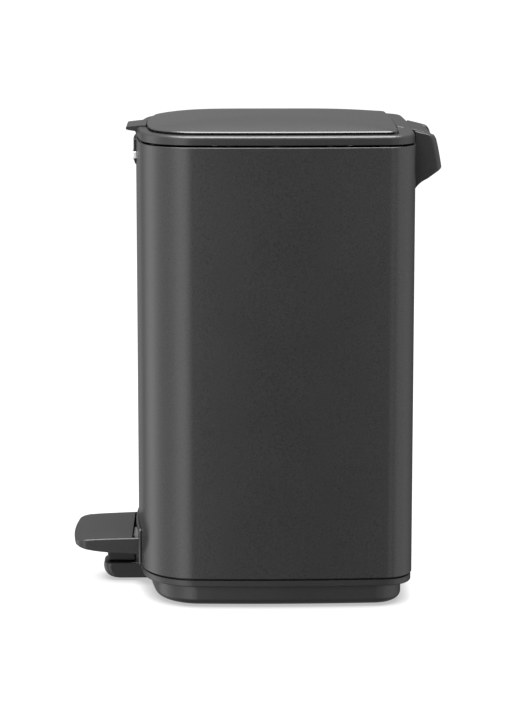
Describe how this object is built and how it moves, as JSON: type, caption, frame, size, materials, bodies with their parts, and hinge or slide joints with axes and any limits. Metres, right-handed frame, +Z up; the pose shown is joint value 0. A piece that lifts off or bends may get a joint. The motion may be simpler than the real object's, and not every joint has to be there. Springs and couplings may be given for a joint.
{
  "type": "pedal trash can",
  "caption": "Upright rectangular pedal bin with rounded corners, steel body, lift-out bucket, rear grip and a crowned hinged lid that a front foot pedal opens through an inner push rod.",
  "frame": {"origin": "on the floor, at the middle of the whole can's footprint with the pedal and the rear grip counted", "axes": "+Z up, -Y is the front with the pedal and the finger lip, +Y is the back with the hinge and the grip, +X is to the right seen from the front"},
  "size_m": [0.175, 0.2812, 0.365],
  "materials": {
    "coated_steel": "matt black powder coating with a very fine grain",
    "moulded_plastic": "black moulded plastic with a fine spark-eroded texture",
    "clip_plate": "blank badge of satin aluminium",
    "black_rubber": "matt black rubber",
    "zinc_steel": "bright zinc plating",
    "bucket_plastic": "dark grey moulded plastic",
    "guide_plastic": "natural white nylon"
  },
  "bodies": {
    "body": {"body_shell": "coated_steel", "base_tray": "moulded_plastic", "foot_pad_1": "black_rubber", "foot_pad_2": "black_rubber", "foot_pad_3": "black_rubber", "foot_pad_4": "black_rubber", "pedal_surround": "moulded_plastic", "pedal_stop": "black_rubber", "axle_bracket_1": "guide_plastic", "axle_bracket_2": "guide_plastic", "axle_clip_1": "zinc_steel", "axle_clip_2": "zinc_steel", "pedal_axle": "zinc_steel", "rim_collar": "moulded_plastic", "front_clip": "moulded_plastic", "clip_inlay": "clip_plate", "rear_grip": "moulded_plastic", "hinge_pin": "zinc_steel", "grip_backplate": "zinc_steel", "grip_screw_1": "zinc_steel", "grip_screw_2": "zinc_steel", "rod_guide_1": "guide_plastic", "rod_guide_2": "guide_plastic", "damper_cylinder": "zinc_steel", "damper_gland": "guide_plastic", "damper_bracket": "guide_plastic", "inner_bucket": "bucket_plastic", "bucket_handle": "zinc_steel"},
    "lid": {"lid_frame": "moulded_plastic", "lid_panel": "coated_steel", "lid_liner": "moulded_plastic", "lid_screw_1": "zinc_steel", "lid_screw_2": "zinc_steel", "lid_screw_3": "zinc_steel", "lid_screw_4": "zinc_steel", "lid_buffer_1": "black_rubber", "lid_buffer_2": "black_rubber", "lid_buffer_3": "black_rubber", "lid_buffer_4": "black_rubber"},
    "pedal": {"pedal_cap": "moulded_plastic", "pedal_lever": "zinc_steel", "pedal_screw_1": "zinc_steel", "pedal_screw_2": "zinc_steel"},
    "push_rod": {"push_rod": "zinc_steel", "rod_shoe": "guide_plastic", "rod_crosshead": "guide_plastic", "damper_plunger": "zinc_steel"}
  },
  "joints": [
    {"name": "lid_hinge", "type": "hinge", "parent": "body", "child": "lid", "pos_m": [0, 0.1276, 0.3445], "axis": [-1, 0, 0], "range_deg": [0, 80]},
    {"name": "pedal_pivot", "type": "hinge", "parent": "body", "child": "pedal", "pos_m": [0, -0.0494, 0.03], "axis": [1, 0, 0], "range_deg": [0, 7.65]},
    {"name": "rod_slide", "type": "slide", "parent": "body", "child": "push_rod", "axis": [0, 0, 1], "range_m": [0, 0.02182]}
  ],
  "couplings": [
    {"joint": "pedal_pivot", "follows": "lid_hinge", "ratio": 0.095558},
    {"joint": "rod_slide", "follows": "lid_hinge", "m_per_rad": 0.015625}
  ]
}
